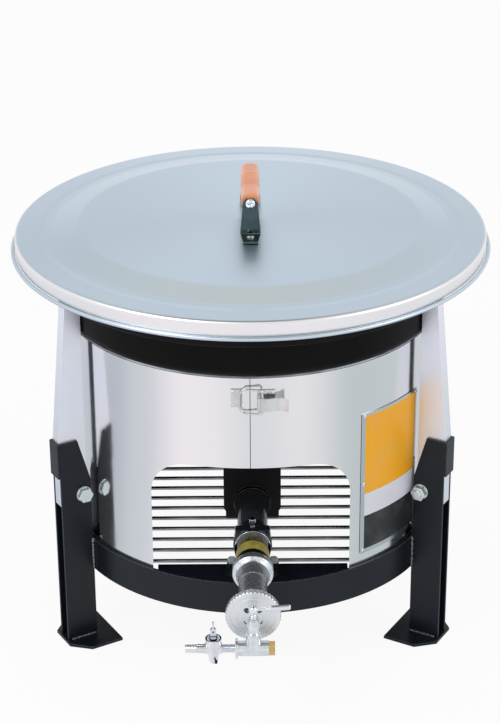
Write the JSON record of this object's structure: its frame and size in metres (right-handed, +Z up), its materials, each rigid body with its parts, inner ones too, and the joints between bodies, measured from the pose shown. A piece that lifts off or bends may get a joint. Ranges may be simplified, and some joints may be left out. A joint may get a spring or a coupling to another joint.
{
  "type": "portable cooking stove",
  "caption": "Three-legged gas stove with a stainless windshield, channel arms carrying a black flared pot with an aluminium lid, and a burner line with air disc and cocks in front.",
  "frame": {"origin": "middle of the whole outline in plan, on the ground under the foot plates; the upright axis of pot, windshield and ring stands 41 mm behind it", "axes": "+Z up, -Y towards the front where the burner line and cocks come out, +X to the right seen from the front"},
  "size_m": [0.5939, 0.676, 0.576],
  "materials": {
    "black_paint": "satin black paint on steel",
    "galvanised": "pale zinc plated steel",
    "grate_steel": "plain grey bar",
    "stainless": "smooth rolled stainless sheet",
    "plate_enamel": "plain enamelled plate",
    "zinc": "bright zinc plate",
    "black_iron": "black cast iron",
    "gloss_black": "gloss black enamel",
    "olive": "olive brown thread seal",
    "yellow": "dull yellow band",
    "cast_zinc": "cast satin zinc alloy",
    "nickel": "nickel plated brass",
    "brass": "turned brass",
    "pot_iron": "smooth black iron",
    "lid_aluminium": "satin spun aluminium",
    "strap_steel": "dark blued steel",
    "grip": "orange brown moulded resin"
  },
  "bodies": {
    "stove": {"base_ring": "black_paint", "leg_left": "black_paint", "leg_right": "black_paint", "leg_rear": "black_paint", "foot_left": "black_paint", "foot_right": "black_paint", "foot_rear": "black_paint", "stop_tabs": "black_paint", "arm_left": "galvanised", "arm_right": "galvanised", "arm_rear": "galvanised", "leg_bolts": "zinc", "leg_nuts": "zinc", "leg_washers": "zinc", "grate_bars": "grate_steel", "burner_crossbar": "black_paint", "windshield": "stainless", "side_plate": "plate_enamel", "side_plate_rivets": "stainless", "latch_catch": "stainless", "latch_base": "stainless", "latch_pin": "stainless", "latch_rivets": "stainless", "burner_body": "black_iron", "burner_head": "black_iron", "burner_cap_outer": "black_iron", "burner_cap_inner": "black_iron", "mixing_tube": "gloss_black", "pipe_saddle": "gloss_black", "saddle_bolts": "zinc", "saddle_nuts": "zinc", "sleeve_set_screw": "zinc", "clamp_ring": "zinc", "thread_band": "olive", "yellow_band": "yellow", "socket": "black_iron", "bell_reducer": "cast_zinc", "front_nipple": "cast_zinc", "lock_ring": "black_iron", "nozzle_holder": "cast_zinc", "nozzle": "nickel", "main_cock_body": "cast_zinc", "brass_plug": "brass", "inlet_flange": "nickel", "inlet_nipple": "nickel", "hose_cock_body": "nickel", "hose_cock_screw": "zinc", "hose_barb": "nickel"},
    "pot": {"pot": "pot_iron"},
    "lid": {"lid": "lid_aluminium", "handle_strap": "strap_steel", "handle_grip": "grip", "handle_screws": "nickel", "handle_rivets": "strap_steel"},
    "latch_lever": {"latch_lever": "stainless"},
    "latch_bail": {"latch_bail": "stainless"},
    "main_cock_key": {"main_cock_spindle": "nickel", "main_cock_lever": "nickel"},
    "hose_cock_key": {"hose_cock_spindle": "nickel"},
    "air_disc": {"air_damper": "cast_zinc"}
  },
  "joints": [
    {"name": "pot_lift", "type": "slide", "parent": "stove", "child": "pot", "axis": [0, 0, 1], "range_m": [0, 0.12]},
    {"name": "lid_lift", "type": "slide", "parent": "pot", "child": "lid", "axis": [0, 0, 1], "range_m": [0, 0.1]},
    {"name": "latch_open", "type": "hinge", "parent": "stove", "child": "latch_lever", "pos_m": [0.009, -0.1976, 0.3849], "axis": [0, 0, -1], "range_deg": [0, 140]},
    {"name": "bail_swing", "type": "hinge", "parent": "latch_lever", "child": "latch_bail", "pos_m": [0.01246, -0.1996, 0.3849], "axis": [0, 0, -1], "range_deg": [-155, 0]},
    {"name": "main_cock_turn", "type": "hinge", "parent": "stove", "child": "main_cock_key", "pos_m": [0, -0.326, 0.184], "axis": [0, 0, 1], "range_deg": [-90, 0]},
    {"name": "hose_cock_turn", "type": "hinge", "parent": "stove", "child": "hose_cock_key", "pos_m": [-0.0465, -0.326, 0.15], "axis": [0, 0, 1], "range_deg": [0, 90]},
    {"name": "air_disc_turn", "type": "hinge", "parent": "stove", "child": "air_disc", "pos_m": [0, -0.302, 0.163], "axis": [0, 1, 0], "range_deg": [0, 90]}
  ],
  "couplings": [
    {"joint": "bail_swing", "follows": "latch_open", "ratio": -1.1}
  ]
}
